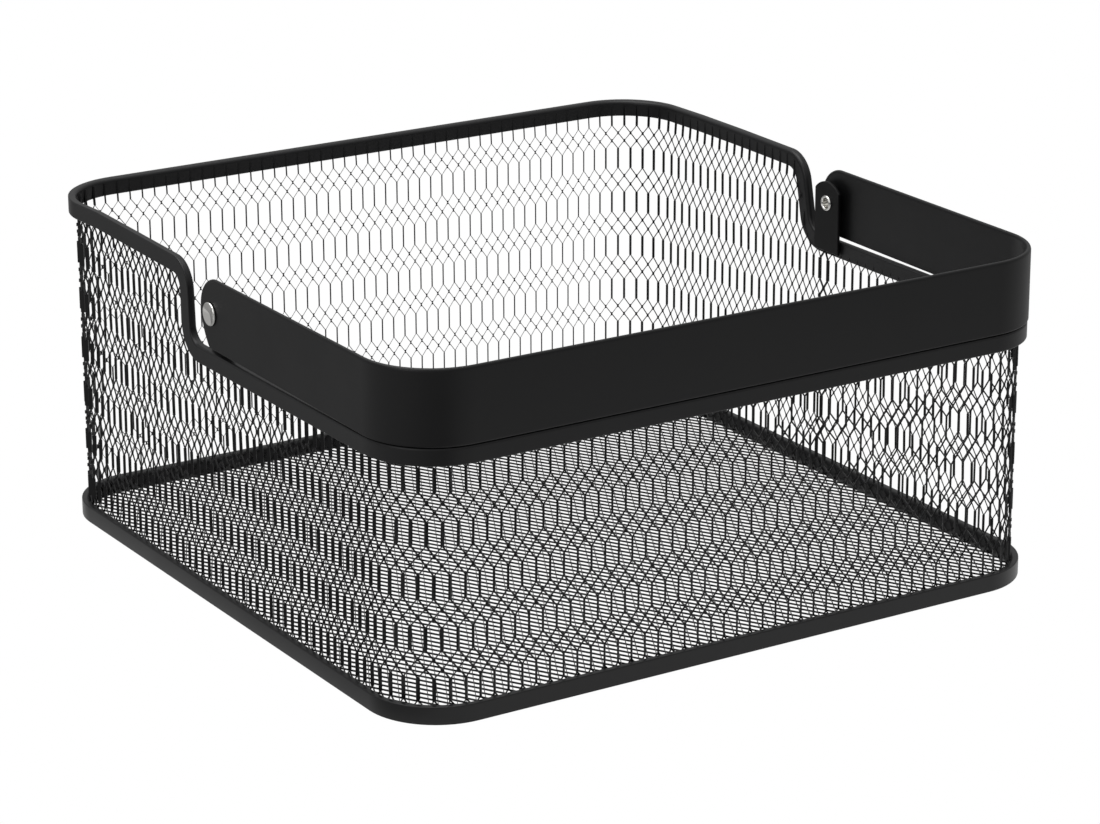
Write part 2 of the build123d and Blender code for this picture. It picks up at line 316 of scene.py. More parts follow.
def wall_point(s, z, offset):
    """The bend's centre at s + (radius + offset) * outward, at height z."""
    outward, _ = wall_frame(s)
    centre = np.stack([
        np.interp(s, long_knots, long_x), np.interp(s, long_knots, long_y), np.asarray(z, float)
    ], axis=-1)
    return centre + outward * (sheet_middle_radius + np.asarray(offset))[..., None]


print("wall is", round(perimeter, 1), "mm round")

# %% [markdown]
# ## The rim's side lines
# From the side, the rim is two nearly level lines joined by an S: a bend at the shoulder, a
# leg that leans back a little, and a bend at the foot. Each bend is an arc that touches the
# lines on both sides, so its centre and its ends follow from its radius. The basket is bent
# by hand: its right leg leans more than its left one, and both lines rise and dip by less
# than 1 mm. These dips are pairs of a y and the height that is added there.

# %% One side line
bend_steps = 14
first_step = 1.0
middle_z = (rim_high_z + rim_low_z) / 2
bow_start_y, bow_end_y = 70.0, 100.0


def side_line(step_y, lean_degrees, shoulder_bend, foot_bend, dips):
    """The (y, z) points and slopes of a side; a bend of radius r reaches r tan((90 - lean) / 2)."""
    lean = np.radians(lean_degrees)
    shoulder_y = step_y + (rim_high_z - middle_z) * np.tan(lean)
    foot_y = step_y + (rim_low_z - middle_z) * np.tan(lean)
    bend_turn = np.pi / 2 - lean
    turn = np.linspace(0, bend_turn, bend_steps)
    back_turn = turn[::-1]
    foot_arc = np.stack([
        foot_y - foot_bend * np.tan(bend_turn / 2) + foot_bend * np.sin(turn),
        rim_low_z + foot_bend * (1 - np.cos(turn)),
    ], axis=-1)
    shoulder_arc = np.stack([
        shoulder_y + shoulder_bend * np.tan(bend_turn / 2) - shoulder_bend * np.sin(back_turn),
        rim_high_z - shoulder_bend * (1 - np.cos(back_turn)),
    ], axis=-1)
    low_part = [[-straight, rim_low_z], [-straight + first_step, rim_low_z]]
    high_part = [[bow_start_y, rim_high_z], [bow_end_y, rim_high_z], [straight, rim_high_z]]
    yz = np.concatenate([low_part, foot_arc, shoulder_arc, high_part])
    yz[:, 1] += np.interp(yz[:, 0], [dip[0] for dip in dips], [dip[1] for dip in dips])
    return yz, np.concatenate([[0.0, 0.0], turn, back_turn, [0.0, 0.0, 0.0]])


# %% Both sides of the rim
right_side = side_line(
    step_y=18.7, lean_degrees=12.0, shoulder_bend=10.0, foot_bend=11.56,
    dips=[(-120, 0.0), (0, -0.7), (45, 0.45), (105, 0.35), (120, 0.0)],
)
left_side = side_line(
    step_y=22.1, lean_degrees=2.5, shoulder_bend=9.0, foot_bend=9.6,
    dips=[(-120, -0.2), (0, -0.9), (40, -0.3), (70, 0.25), (100, 0.7), (120, 0.3)],
)


def rim_line(points):
    """Height of the rim's middle at wall points, by straight lines between each side's points."""
    right = np.interp(points[:, 1], right_side[0][:, 0], right_side[0][:, 1])
    left = np.interp(points[:, 1], left_side[0][:, 0], left_side[0][:, 1])
    return np.where(points[:, 0] > 0, right, left)


print("each side line has", len(right_side[0]), "points")

# %% [markdown]
# ## Bands
# A band is one closed section, carried round a closed line: at each station the section's
# first axis points out of the basket and its second square to that and to the line. The
# section is a rectangle whose corners are quarter circles: the high part is crisp on its
# outer top edge and much rounder on the inner one, and the low part the other way round. It
# changes from one to the other over the first millimetres of the step. A point beside each
# quarter circle keeps the flat sides flat under smooth shading.


# %% Section of a band
def rounded_section(thickness, height, radii, steps=6, beside=0.15):
    """A rectangle with a radius at each corner, against the clock, as (out, up) pairs."""
    points = []
    for index, radius in enumerate(radii):
        turned = index * np.pi / 2 + np.linspace(0, np.pi / 2, steps)
        out, up = [(1, 1), (-1, 1), (-1, -1), (1, -1)][index]
        centre = np.array([out * (thickness / 2 - radius), up * (height / 2 - radius)])
        arc = centre + radius * np.stack([np.cos(turned), np.sin(turned)], axis=-1)
        before = arc[0] + beside * np.array([np.sin(turned[0]), -np.cos(turned[0])])
        after = arc[-1] + beside * np.array([-np.sin(turned[-1]), np.cos(turned[-1])])
        points.append(np.concatenate([[before], arc, [after]]))
    return np.concatenate(points)


# %% Section carried along a line
def carried(sections, places, outward, tangent):
    """Closed surface: place + out * outward + up * (outward x tangent), joined ring to ring."""
    upward = np.cross(outward, tangent)
    points = (
        places[:, None, :]
        + sections[:, :, 0, None] * outward[:, None, :]
        + sections[:, :, 1, None] * upward[:, None, :]
    )
    rings, sides = points.shape[:2]
    ring = np.arange(rings)[:, None]
    side = np.arange(sides)[None, :]
    next_ring = (ring + 1) % rings
    next_side = (side + 1) % sides
    quads = np.stack([
        ring * sides + side, next_ring * sides + side,
        next_ring * sides + next_side, ring * sides + next_side,
    ], axis=-1).reshape(-1, 4)
    return points.reshape(-1, 3), quads[:, ::-1]


# %% Stations on the corners and sides
def corner_stations(quarter, z, radius, steps=20):
    """Stations round one corner, at centre + radius (cos a, sin a), with their directions."""
    angle = np.radians(90 * quarter) + np.linspace(0, np.pi / 2, steps)
    zero = np.zeros(steps)
    outward = np.stack([np.cos(angle), np.sin(angle), zero], axis=-1)
    tangent = np.stack([-np.sin(angle), np.cos(angle), zero], axis=-1)
    signs = [(1, 1), (-1, 1), (-1, -1), (1, -1)][quarter]
    centre = np.array([signs[0] * straight, signs[1] * straight, z])
    return centre + radius * outward, outward, tangent


def side_stations(sign, x):
    """Stations up the right side (sign 1) or down the left side (sign -1), along the S."""
    order = slice(1, -1) if sign > 0 else slice(-2, 0, -1)
    yz, lean = [part[order] for part in (right_side if sign > 0 else left_side)]
    zero = np.zeros(len(yz))
    places = np.stack([zero + sign * x, yz[:, 0], yz[:, 1]], axis=-1)
    outward = np.stack([zero + sign, zero, zero], axis=-1)
    tangent = sign * np.stack([zero, np.cos(lean), np.sin(lean)], axis=-1)
    return places, outward, tangent


# %% Rim
band_radius = corner_radius - band_thickness / 2
band_x = half_width - band_thickness / 2
outer_top, inner_top, inner_low, outer_low = 0.45, 1.6, 0.6, 0.5
low_outer_top = 1.0
edge_change_height = 8

rim_parts = [
    side_stations(1, band_x),
    corner_stations(0, rim_high_z, band_radius),
    corner_stations(1, rim_high_z, band_radius),
    side_stations(-1, band_x),
    corner_stations(2, rim_low_z, band_radius),
    corner_stations(3, rim_low_z, band_radius),
]
rim_places, rim_out, rim_tangent = [np.concatenate(part) for part in zip(*rim_parts)]
rise = np.clip((rim_places[:, 2] - rim_low_z) / edge_change_height, 0, 1)
rim_sections = np.stack([
    rounded_section(band_thickness, rim_height, [
        low_outer_top + share * (outer_top - low_outer_top),
        inner_low + share * (inner_top - inner_low),
        inner_low, outer_low,
    ])
    for share in rise
])
rim_points, rim_quads = carried(rim_sections, rim_places, rim_out, rim_tangent)
rim = quad_object("rim_band", rim_points, rim_quads, band_paint, smooth=True)
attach(rim, "basket")
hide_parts("top_rim")
print("rim faces:", len(rim_quads))

# %% Base band
base_parts = [corner_stations(quarter, base_height / 2, band_radius) for quarter in range(4)]
base_places, base_out, base_tangent = [np.concatenate(part) for part in zip(*base_parts)]
base_radii = [outer_top, inner_top, inner_low, outer_low]
base_section = rounded_section(band_thickness, base_height, base_radii)
base_sections = np.tile(base_section, (len(base_places), 1, 1))
base_points, base_quads = carried(base_sections, base_places, base_out, base_tangent)
base = quad_object("floor_band", base_points, base_quads, band_paint, smooth=True)
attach(base, "basket")
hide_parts("base_band")
print("base band faces:", len(base_quads))

# %% [markdown]
# ## Expanded mesh of the wall
# Expanded metal starts as a plain sheet. A press slits it in rows and pulls it open, so
# that each strand twists out of the sheet's plane. This pattern has rows of upright bonds,
# 9 mm long and 20.75 mm apart. Above each row the strands part and meet three times, 3.9 mm
# higher each time, and the next row of bonds stands half a cell further on.
#
# All strands are made at once, from the number of a column and an even height. What makes
# them lie as in the real basket, which was stretched unevenly, is added after that.

# %% Cells of the wall
bond_length = 9.0
half_step = 3.917
row_rise = bond_length + 3 * half_step
first_bond_z = 11.15
knuckle_length = 1.2
seam_start, seam_end = -1.1, 4.7
bond_rows = np.arange(-1, 8)
print("bond rows:", len(bond_rows), "each", round(row_rise, 2), "mm over the last")

# %% [markdown]
# The strip is squeezed at its foot and over its last whole row, so even heights go to real
# ones by five knots. A column number goes to the distance s by one pair of knots for each
# wall and a few more on the right wall. The pairs count from the end of the bend before.
# All that lies under the strip's foot goes to one height, so bonds have no length there and
# are dropped.

# %% Heights and columns
top_z = first_bond_z + 5 * row_rise + bond_length / 2
even_z = [0, 45, top_z, top_z + 3 * half_step, top_z + 8 * half_step]
real_z = [1.4, 45, top_z, top_z + 10.9, top_z + 30.5]

column_knots = np.array([-1, 0, 3, 6, 28, 69, 77, 118, 126, 165, 193, 194])
s_knots = np.array([
    seam_start, seam_end, 20.0, 36.1,
    knots[2] + 1.2, knots[2] + 237.9,
    knots[4] + 4.7, knots[4] + 236.8,
    knots[6] + 2.9, knots[6] + 238.9,
    perimeter + seam_start, perimeter + seam_end,
])
print("columns:", column_knots[-1], "from s", s_knots[0], "to", round(s_knots[-1], 1))

# %% [markdown]
# The rows rise and sink a little on their way round, and the strands lean and bow where the
# sheet was pulled. A table gives both in millimetres at distances s along the wall: the
# lift of the rows, and the pull along the wall at four heights.

# %% Lift and pull
pull_z = np.array([30, 52, 84, 116])
pulls = np.array([
    # s, row lift, sideways pull at each height
    [0, -0.7, 0.0, 0.0, 0.0, 0.0],
    [40, -0.6, -0.3, -0.3, -0.3, -0.2],
    [65, -0.7, -0.7, -0.7, -0.8, -0.1],
    [90, -1.0, -0.6, -0.6, -0.6, 0.0],
    [116, -1.4, 0.5, 0.5, 0.5, 0.4],
    [140, -1.1, 0.1, 0.1, 0.1, 0.2],
    [161, -1.3, 0.0, 0.0, 0.0, 0.0],
    [220, -1.35, 0.0, 0.0, 0.0, 0.0],
    [302, -0.8, 0.0, 0.0, 0.0, 0.0],
    [350, -0.3, 0.2, 0.2, 0.2, 0.1],
    [401, 0.1, 0.0, 0.0, 0.0, 0.0],
    [446, 1.7, -1.3, 0.0, 1.3, 0.1],
    [467, 1.3, -0.8, -0.4, 0.5, -0.7],
    [487, 1.1, -2.1, -1.3, -1.1, -1.8],
    [507, 0.7, -2.4, -3.0, -3.4, -3.2],
    [527, 0.7, -2.6, -3.3, -3.9, -4.3],
    [547, 0.9, -2.5, -3.2, -3.5, -3.5],
    [567, 1.0, -1.5, -2.1, -2.9, -2.9],
    [597, 1.2, -0.8, -1.1, -2.7, -2.7],
    [637, 0.8, -0.2, 0.0, -1.6, -1.6],
    [657, 0.7, -0.8, -0.5, 0.1, 0.1],
    [677, 0.4, -0.4, 0.0, 0.9, 0.9],
    [703, 0.5, -0.7, -0.2, 0.6, 0.6],
    [724, 0.3, -0.1, 0.0, 0.7, 0.7],
    [770, 0.1, 0.1, 0.4, 0.6, 0.6],
    [830, 0.0, 0.5, 0.7, 0.6, 0.6],
    [900, 0.0, 0.8, 0.8, 0.7, 0.6],
    [962, -0.3, 0.0, 0.0, 0.0, 0.0],
    [1020, -0.6, -1.5, -0.6, -0.4, 0.0],
    [1041, -0.5, -1.0, 0.0, 0.0, 0.0],
    [1065, 0.0, -1.6, -0.7, -0.6, 0.0],
    [1083, 0.1, -1.6, -0.7, -0.5, 0.0],
    [1105, -0.3, -0.9, -0.3, 0.0, 0.0],
    [1125, -0.6, 0.0, 0.0, 0.0, 0.0],
])
print("largest pull in mm:", np.abs(pulls[:, 2:]).max(), "lift:", np.abs(pulls[:, 1]).max())


# %% Place in the strip
def strip_place(column, z):
    """The (s, z) of a column and an even height: each by its knots, plus pull and lift."""
    s = np.interp(column, column_knots, s_knots)
    side = np.stack([np.interp(s, pulls[:, 0], column_pull) for column_pull in pulls[:, 2:].T])
    level = np.interp(z, pull_z, np.arange(len(pull_z)))
    below = np.minimum(level.astype(int), len(pull_z) - 2)
    share = level - below
    strand = np.arange(len(s))
    pull = side[below, strand] * (1 - share) + side[below + 1, strand] * share
    lift = np.interp(s, pulls[:, 0], pulls[:, 1])
    return np.stack([s + pull, np.interp(z, even_z, real_z) + lift], axis=-1)


# %% All strands of the strip
STRAND, BOND, KNUCKLE = 0, 1, 2


def wall_strands(first_column, last_column):
    """Ends of all strands that lie between two columns, as (s, z) pairs, and the kind of each."""
    column, row = np.meshgrid(np.arange(first_column - 1, last_column + 1), bond_rows)
    column = (column + (row % 2) / 2).ravel()
    bond_z = (first_bond_z + row * row_rise).ravel()
    low, high = bond_z - bond_length / 2, bond_z + bond_length / 2
    pieces = [(column, low, column, high, BOND)]
    for step in range(3):
        foot, foot_z = column + (step % 2) / 2, high + step * half_step
        for side in (-0.5, 0.5):
            pieces.append((foot, foot_z, foot + side, foot_z + half_step, STRAND))
        if step:
            half_knuckle = knuckle_length / 2
            pieces.append((foot, foot_z - half_knuckle, foot, foot_z + half_knuckle, KNUCKLE))
    from_column, from_z, to_column, to_z = [
        np.concatenate([piece[i] for piece in pieces]) for i in range(4)
    ]
    kinds = np.repeat([piece[4] for piece in pieces], len(column))
    lowest, highest = np.minimum(from_column, to_column), np.maximum(from_column, to_column)
    within = (lowest >= first_column) & (highest <= last_column)
    starts = strip_place(from_column[within], from_z[within])
    ends = strip_place(to_column[within], to_z[within])
    has_length = (starts != ends).any(axis=1)
    return starts[has_length], ends[has_length], kinds[within][has_length]


start_sz, end_sz, strand_kind = wall_strands(column_knots[0], column_knots[-1])
print("strands before the strip is cut to its outline:", len(start_sz))

# %% [markdown]
# ## Cutting the strip to its outline
# The strip ends on the floor mesh below, and above it is pressed into the rim's inner
# face, where it shows as ridges over most of the band's height. A strand that crosses an
# edge is cut there: the share of its length that stays is found by halving.


# %% Cut by halving
halvings = 16


def clipped(start, end, inside):
    """Move the outer end of each crossing strand to the edge; drop strands fully outside."""
    start_in, end_in = inside(start), inside(end)
    keep = start_in | end_in
    start, end, start_in, end_in = start[keep], end[keep], start_in[keep], end_in[keep]
    flip = ~start_in
    inner = np.where(flip[:, None], end, start)
    outer = np.where(flip[:, None], start, end)
    crossing = ~(start_in & end_in)
    low, high = np.zeros(len(inner)), np.ones(len(inner))
    for _ in range(halvings):
        middle = (low + high) / 2
        at_middle = inside(inner + (outer - inner) * middle[:, None])
        low, high = np.where(at_middle, middle, low), np.where(at_middle, high, middle)
    cut = inner + (outer - inner) * low[:, None]
    outer = np.where(crossing[:, None], cut, outer)
    return inner, outer, keep


# %% Outline of the strip
sheet_low_z = floor_high[2]
tuck_share = 0.72


def over_rim_edge(points):
    """Height of (s, z) points over the lower edge of the rim."""
    return points[:, 1] - rim_line(wall_point(points[:, 0], points[:, 1], 0.0)) + rim_height / 2


def in_strip(points):
    """True between the floor sheet and the line on the rim where the strip ends."""
    return (points[:, 1] > sheet_low_z) & (over_rim_edge(points) < tuck_share * rim_height)


inner_sz, outer_sz, kept = clipped(start_sz, end_sz, in_strip)
kept_kind = strand_kind[kept]
print("strands in the wall:", len(inner_sz))

# %% [markdown]
# ## Strands as ribbons
# A strand is a ribbon with a rectangular section, turned about its own length. The press
# turns all strands of a sheet alike, so the lean from the wall's along direction towards
# its outward one is the same all round. That is why the ribbons show their thin edge on
# the front and back walls and their broad side on the left and right ones. A bond is over
# twice as wide as a strand, and where two strands cross, a short thick knuckle joins them.
#
# A strand is finer than a pixel of the picture, so it is drawn as coarse as it needs to
# show. Two tables over s give its breadth and its body, as factors on width and thickness:
# the front wall needs more body to be seen against the floor, and the left wall and its
# rounded rear corner need more breadth. At the rim the strip is pressed outward into the
# band, and at the seam on the right wall its end lies a little inside its beginning.

# %% Sizes of the ribbons
strand_lean = np.radians(125)
kind_width = np.array([0.42, 1.05, 0.85])
kind_thickness = np.array([0.2, 0.5, 0.5])
joint_overlap = 0.12
press_in, press_start, press_rise = 0.62, 0.5, 2.0
lap_side, lap_in = 0.25, 0.35
lap_reach, lap_fade = 8, 6
body_s = [395, 410, 440, 460, 690, 724, 760, 964, 1005]
strand_breadth = [1.0, 1.5, 1.5, 1.35, 1.35, 1.2, 1.0, 1.0, 1.0]
strand_body = [1.0, 1.0, 1.0, 1.0, 1.0, 2.5, 2.7, 2.7, 1.0]
bond_breadth = [1.0, 1.7, 1.7, 1.0, 1.3, 1.6, 1.2, 1.0, 1.0]
bond_body = [1.0, 1.5, 1.5, 1.0, 1.0, 1.8, 1.6, 1.5, 1.0]
print("strand, bond and knuckle widths in mm:", kind_width)


# %% Box round each line
def ribbons(start, end, broad, width, thickness, overlap_mm):
    """Box round each line: the broad direction is made square to the line, the thin one to both."""
    line = end - start
    line /= np.linalg.norm(line, axis=1, keepdims=True)
    broad = broad - line * np.sum(broad * line, axis=1, keepdims=True)
    broad /= np.linalg.norm(broad, axis=1, keepdims=True)
    thin = np.cross(line, broad)
    start, end = start - line * overlap_mm, end + line * overlap_mm
    half_broad = broad * width[:, None] / 2
    half_thin = thin * thickness[:, None] / 2
    ring = [
        half_broad + half_thin, half_thin - half_broad,
        -half_broad - half_thin, half_broad - half_thin,
    ]
    points = np.stack([start + side for side in ring] + [end + side for side in ring], axis=1)
    faces = np.array([
        [0, 1, 5, 4], [1, 2, 6, 5], [2, 3, 7, 6], [3, 0, 4, 7], [3, 2, 1, 0], [4, 5, 6, 7],
    ])
    quads = np.arange(len(points))[:, None, None] * 8 + faces[None]
    return points.reshape(-1, 3), quads.reshape(-1, 4)


# %% Pressed at the rim, lapped at the seam
def pressed(points):
    """How far out the strip is pressed: it grows over press_rise from just under the rim."""
    return press_in * np.clip((over_rim_edge(points) + press_start) / press_rise, 0, 1)


def lapped(points):
    """Share of the lap, 0 to 1 over lap_fade, as s comes near the strip's far end."""
    return np.clip((points[:, 0] - perimeter - seam_start + lap_reach) / lap_fade, 0, 1)


def strip_point(points):
    """Place of (s, z) points, pressed outward at the rim and moved inward at the seam."""
    s = points[:, 0] + lap_side * lapped(points)
    return wall_point(s, points[:, 1], pressed(points) - lap_in * lapped(points))


# %% Ribbons of the wall
def wall_ribbons(inner, outer, kind):
    """The ribbons of some strands of the wall, from their (s, z) ends and their kinds."""
    middle_s = (inner[:, 0] + outer[:, 0]) / 2
    outward, along = wall_frame(middle_s)
    broad = np.cos(strand_lean) * along + np.sin(strand_lean) * outward
    thin = kind == STRAND
    tables = [(strand_breadth, bond_breadth), (strand_body, bond_body)]
    breadth, body = [
        np.where(thin, np.interp(middle_s, body_s, of_strand), np.interp(middle_s, body_s, of_bond))
        for of_strand, of_bond in tables
    ]
    return ribbons(
        strip_point(inner), strip_point(outer), broad,
        kind_width[kind] * breadth, kind_thickness[kind] * body, joint_overlap,
    )


# %% One piece of mesh for each stretch of wall
wall_stretches = {
    "wall_mesh_right_rear": (knots[0] - overlap, knots[1]),
    "corner_mesh_back_right": (knots[1], knots[2]),
    "wall_mesh_back": (knots[2], knots[3]),
    "corner_mesh_back_left": (knots[3], knots[4]),
    "wall_mesh_left_rear": (knots[4], knots[4] + straight),
    "wall_mesh_left_front": (knots[4] + straight, knots[5]),
    "corner_mesh_front_left": (knots[5], knots[6]),
    "wall_mesh_front": (knots[6], knots[7]),
    "corner_mesh_front_right": (knots[7], knots[8]),
    "wall_mesh_right_front": (knots[8], perimeter + overlap),
}
strand_middle = (inner_sz[:, 0] + outer_sz[:, 0]) / 2
for node_name, (from_s, to_s) in wall_stretches.items():
    mine = (strand_middle >= from_s) & (strand_middle < to_s)
    points, quads = wall_ribbons(inner_sz[mine], outer_sz[mine], kept_kind[mine])
    net = quad_object("strands_" + node_name, points, quads, wire_paint)
    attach(net, "basket")
    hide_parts(node_name)
    print(net.name, "strands:", int(mine.sum()))

# %% [markdown]
# ## Floor mesh
# The floor is a finer expanded sheet of plain diamonds, 4.1 mm wide and 7.4 mm long, laid
# about one degree askew. It is cut to the rounded square inside the base band. Its strands
# stand nearly upright, as the press turns them, so that they look thin and dark from above.

# %% Sizes of the floor
diamond_width = 4.1
diamond_length = 7.4
floor_askew = np.radians(1.0)
floor_gap = 0.05
floor_half = floor_high[0] - floor_gap
floor_corner_inset = 3.2
floor_corner = corner_radius - floor_corner_inset
floor_strand_width = 0.68
floor_strand_thickness = 0.32
floor_lean = np.radians(78)
grid_excess = 1.5


def in_floor(points):
    """True inside the rounded square: nearer to a smaller square than the corner's radius."""
    over = np.maximum(np.abs(points) - (floor_half - floor_corner), 0)
    return np.hypot(over[:, 0], over[:, 1]) < floor_corner


# %% Floor strands
reach = int(floor_half * grid_excess / diamond_width)
across, down = np.meshgrid(np.arange(-reach, reach), np.arange(-reach, reach))
grid_x = (across * diamond_width).ravel()
grid_y = (down * diamond_length).ravel()
centre_points = np.stack([grid_x, grid_y], -1)
turn_floor = np.array([
    [np.cos(floor_askew), np.sin(floor_askew)],
    [-np.sin(floor_askew), np.cos(floor_askew)],
])
floor_starts, floor_ends = [], []
for side in (-1, 1):
    for up in (-1, 1):
        floor_starts.append(centre_points)
        floor_ends.append(centre_points + [side * diamond_width / 2, up * diamond_length / 2])
floor_start = np.concatenate(floor_starts) @ turn_floor
floor_end = np.concatenate(floor_ends) @ turn_floor
floor_inner, floor_outer, _ = clipped(floor_start, floor_end, in_floor)
floor_count = len(floor_inner)
floor_z = np.full((floor_count, 1), (floor_low[2] + floor_high[2]) / 2)
floor_broad = np.tile([0.0, np.cos(floor_lean), np.sin(floor_lean)], (floor_count, 1))
floor_points, floor_quads = ribbons(
    np.hstack([floor_inner, floor_z]), np.hstack([floor_outer, floor_z]), floor_broad,
    np.full(floor_count, floor_strand_width), np.full(floor_count, floor_strand_thickness),
    joint_overlap,
)
floor_net = quad_object("strands_floor", floor_points, floor_quads, wire_paint)
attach(floor_net, "basket")
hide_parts("floor_mesh")
print("floor strands:", floor_count)

# %% [markdown]
# ## Handle
# The handle is one strap, bent into a U. Its outline is known by two edges: the upper and
# the lower one, which meet at the rear end of each arm. There the upper edge is an arc of
# radius R and the lower one an arc of radius H about a centre at the same height, so at a
# turn t the place is y = tip - R (1 - cos t), and the height R sin t over the centre. The
# lower edge has the turn u with H (1 - cos u) = R (1 - cos t), so that both share their y.
#
# An edge is rounded by moving the outline inward by d = h (1 - cos a) while the surface
# moves out to r sin a, with a from 0 to 90 degrees. The upper edge is a long quarter of an
# ellipse, with h over one and a half times r. The lower one is crisp inside and rounder
# outside, and lies up to 1 mm lower in front and on the left, close over the rim. One more
# line, a quarter of a millimetre further in, keeps the flat sides flat.

# %% Sizes of the strap
strap_thickness = 2.0
upper_edge_radius = 0.8
upper_edge_height = 1.3
lower_edge_radius = 0.2
lower_outer_radius = 0.6
edge_guard = 0.25
front_sag, left_sag = 0.9, 1.0
right_sag_y = [-130, -60]
left_sag_y = [-150, -110, -35, -10]
arm_end_radius = 12.3
arm_heel_radius = 26.0
strap_path_radius = strap_high[0] - straight - strap_thickness / 2
arc_centre_z = strap_high[2] - arm_end_radius
end_steps, corner_steps, rounding_steps = 19, 20, 6
end_turns = np.linspace(0, np.pi / 2, end_steps)
heel_turns = np.arccos(1 - arm_end_radius * (1 - np.cos(end_turns)) / arm_heel_radius)
bend_angle = np.radians(-90) + np.linspace(np.pi / 2, 0, corner_steps)
rounding = np.linspace(0, np.pi / 2, rounding_steps)
full_radius_turn = np.pi / 3
print("arms end at y", round(strap_high[1], 1), "and the arcs' centre is at z", arc_centre_z)


# %% Radii of the edges
def edge_radii(full_radius):
    """An edge's radius at each station: from crisp at the arm's end to full over 60 degrees."""
    end = np.interp(end_turns, [0, full_radius_turn], [lower_edge_radius, full_radius])
    return np.concatenate([end, np.full(len(bend_angle), full_radius)])


upper_radii = edge_radii(upper_edge_radius)
lower_radii = edge_radii(lower_edge_radius)
lower_outer_radii = edge_radii(lower_outer_radius)
drawn_out = np.interp(
    upper_radii, [lower_edge_radius, upper_edge_radius],
    [1, upper_edge_height / upper_edge_radius],
)


# %% One line of the strap
def strap_line(edge, ring, side):
    """One line along the U: edge 1 is the upper, -1 the lower; side 1 is outside, -1 inside."""
    radii = upper_radii if edge > 0 else (lower_outer_radii if side > 0 else lower_radii)
    turned = rounding[min(ring, len(rounding) - 1)]
    height = radii * (drawn_out if edge > 0 else 1)
    inset = height * (1 - np.cos(turned)) + (edge_guard if ring == len(rounding) else 0.0)
    reach = strap_path_radius + side * (strap_thickness / 2 - radii * (1 - np.sin(turned)))
    arm, bend = slice(0, len(end_turns)), slice(len(end_turns), None)
    turns = end_turns if edge > 0 else heel_turns
    arc_radius = (arm_end_radius if edge > 0 else arm_heel_radius) - inset[arm]
    arm_y = strap_high[1] - inset[arm] - arc_radius * (1 - np.cos(turns))
    arm_z = arc_centre_z + edge * arc_radius * np.sin(turns)
    level = strap_high[2] - inset if edge > 0 else strap_low[2] + inset
    z = level.copy()
    z[arm] = arm_z if edge > 0 else np.maximum(arm_z, level[arm])
    x = straight + np.concatenate([reach[arm], reach[bend] * np.cos(bend_angle)])
    y = np.concatenate([arm_y, -straight + reach[bend] * np.sin(bend_angle)])
    half = np.column_stack([x, y, z])
    line = np.concatenate([half, half[::-1] * [-1, 1, 1]])
    if edge < 0:
        right = np.interp(line[:, 1], right_sag_y, [front_sag, 0])
        left = np.interp(line[:, 1], left_sag_y, [front_sag, left_sag, left_sag, 0])
        line[:, 2] -= np.where(line[:, 0] > 0, right, left)
    return line


# %% Handle surface
rings = range(len(rounding) + 1)
section_rings = (
    [strap_line(1, ring, 1) for ring in rings[::-1]]
    + [strap_line(1, ring, -1) for ring in rings]
    + [strap_line(-1, ring, -1) for ring in rings[::-1]]
    + [strap_line(-1, ring, 1) for ring in rings]
)
strap_points = np.stack(section_rings, axis=1)
strap_sides = strap_points.shape[1]
station = np.arange(len(strap_points) - 1)[:, None]
side = np.arange(strap_sides)[None, :]
next_side = (side + 1) % strap_sides
strap_quads = np.stack([
    station * strap_sides + side, station * strap_sides + next_side,
    (station + 1) * strap_sides + next_side, (station + 1) * strap_sides + side,
], axis=-1).reshape(-1, 4)
strap_points = strap_points.reshape(-1, 3)
strap = quad_object("strap_handle", strap_points, strap_quads, strap_paint, smooth=True)
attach(strap, "handle")
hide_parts("handle")
print("strap faces:", len(strap_quads))

# %% [markdown]
# ## Rivets
# A rivet is a surface of revolution: each point of its profile goes round the pivot's axis
# in even steps. The head is a disc, dished by less than 1 mm, and the tail inside the
# tab is rolled over a hollow bore. Both are pairs of a distance along the axis and a radius.

# %% Profile of a rivet
head_play = 0.1
head_x = strap_high[0] + head_play
tab_face_x = tab_low[0]
tail_x = rivet_low[0]
shank_radius = 2.75
roll_radius = 3.4
tail_form = np.array([
    [6.5, 0.0], [6.0, 1.6], [5.0, 2.2], [0.7, 2.25], [0.3, 2.35],
    [0.05, 2.55], [0.0, 2.8], [0.1, 3.1], [0.35, 3.32], [0.65, roll_radius],
])
head_form = np.array([
    [0.0, 4.6], [0.1, 4.78], [0.3, 4.85], [0.6, 4.8], [0.85, 4.66], [0.97, 4.48], [1.0, 4.3],
    [0.97, 4.1], [0.9, 3.8], [0.7, 3.0], [0.47, 2.0], [0.27, 1.0], [0.2, 0.0],
])
rivet_profile = np.concatenate([
    tail_form + [tail_x, 0],
    [[tab_face_x, roll_radius], [tab_face_x, shank_radius], [head_x, shank_radius]],
    head_form + [head_x, 0],
])
print("rivet is", round(rivet_profile[:, 0].max() - tail_x, 2), "mm long")


# %% Turned rivets
def revolved(profile, sides=48):
    """Each (x, radius) goes to (x, y + radius cos a, z + radius sin a) round the pivot's axis."""
    angle = np.linspace(0, 2 * np.pi, sides, endpoint=False)
    x = np.repeat(profile[:, 0], sides)
    y = pivot[1] + np.outer(profile[:, 1], np.cos(angle)).ravel()
    z = pivot[2] + np.outer(profile[:, 1], np.sin(angle)).ravel()
    ring = np.arange(len(profile) - 1)[:, None]
    step = np.arange(sides)[None, :]
    next_step = (step + 1) % sides
    quads = np.stack([
        ring * sides + step, ring * sides + next_step,
        (ring + 1) * sides + next_step, (ring + 1) * sides + step,
    ], axis=-1).reshape(-1, 4)
    return np.column_stack([x, y, z]), quads


